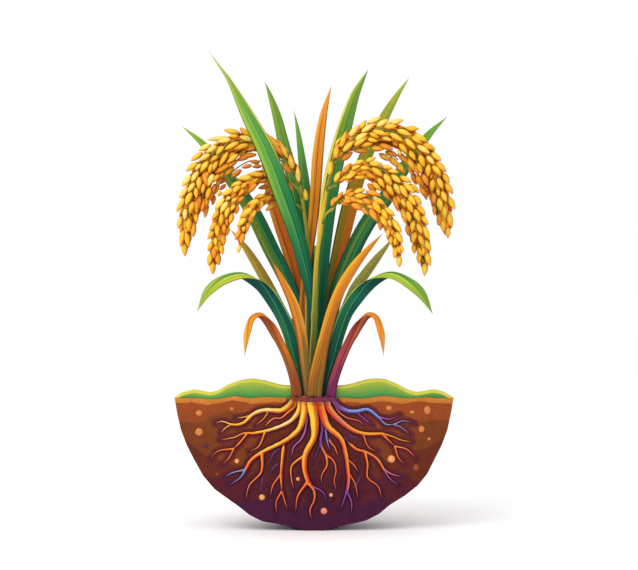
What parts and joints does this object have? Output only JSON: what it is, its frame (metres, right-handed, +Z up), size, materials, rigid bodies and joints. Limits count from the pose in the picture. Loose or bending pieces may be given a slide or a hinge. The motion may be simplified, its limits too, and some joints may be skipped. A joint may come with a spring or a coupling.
{
  "type": "rice plant",
  "caption": "Clump of ripe rice on a cut half-round clod of soil, with arching green and straw leaves, hanging golden grain heads and coloured roots spread over the flat cut face.",
  "frame": {"origin": "on the clod's flat foot, under the middle of the clump; the cut face is the plane y = -0.02", "axes": "+Z up along the stalks, +X to the right along the cut face, -Y out of the cut face towards the viewer"},
  "size_m": [0.5588, 0.487, 0.9503],
  "materials": {
    "soil": "matte, layered from rust brown to dark purple",
    "turf": "short soft grass, yellow-green rim over deep green",
    "crown": "matte brown-red to purple fibres",
    "leaf": "satin blade with a midrib and fine veins, teal at the foot",
    "straw": "dry satin blade, orange with a brown foot",
    "stalk": "satin, olive to yellow",
    "grain": "dry husks, golden yellow to orange",
    "root": "satin, yellow at the top to red and purple at the ends",
    "pebble_flat": "matte",
    "pebble_glossy": "glossy with a bright highlight"
  },
  "bodies": {
    "root": {"crown": "crown", "culm_left": "stalk", "culm_right": "stalk", "head_left_low": "grain", "head_left_mid": "grain", "head_left_top": "grain", "head_right_low": "grain", "head_right_mid": "grain", "head_right_top": "grain", "leaf_arch_left": "leaf", "leaf_arch_right": "leaf", "leaf_bent_left": "straw", "leaf_bent_right": "straw", "leaf_brown_back": "straw", "leaf_front_left": "straw", "leaf_front_right": "straw", "leaf_green_back": "leaf", "leaf_low_left": "leaf", "leaf_low_right": "leaf", "leaf_olive_back": "leaf", "leaf_orange_mid": "straw", "leaf_rear_arch": "leaf", "leaf_rear_left": "leaf", "leaf_rear_right": "leaf", "leaf_rear_tall": "leaf", "leaf_slim_mid": "leaf", "leaf_tall_left": "leaf", "leaf_tall_right": "leaf", "leaf_wide_left": "leaf", "leaf_wide_right": "leaf", "pebble_a": "pebble_flat", "pebble_b": "pebble_flat", "pebble_c": "pebble_glossy", "pebble_d": "pebble_glossy", "pebble_e": "pebble_flat", "pebble_f": "pebble_flat", "pebble_g": "pebble_flat", "pebble_h": "pebble_glossy", "pebble_i": "pebble_glossy", "pebble_j": "pebble_flat", "pebble_k": "pebble_flat", "root_blue": "root", "root_centre": "root", "root_left_deep": "root", "root_left_lower": "root", "root_left_short": "root", "root_left_top": "root", "root_left_upper": "root", "root_mid_right": "root", "root_orange_short": "root", "root_right_deep": "root", "root_right_lower": "root", "root_right_short": "root", "root_right_top": "root", "root_right_upper": "root", "root_violet": "root", "soil": "soil", "turf": "turf"}
  },
  "joints": []
}
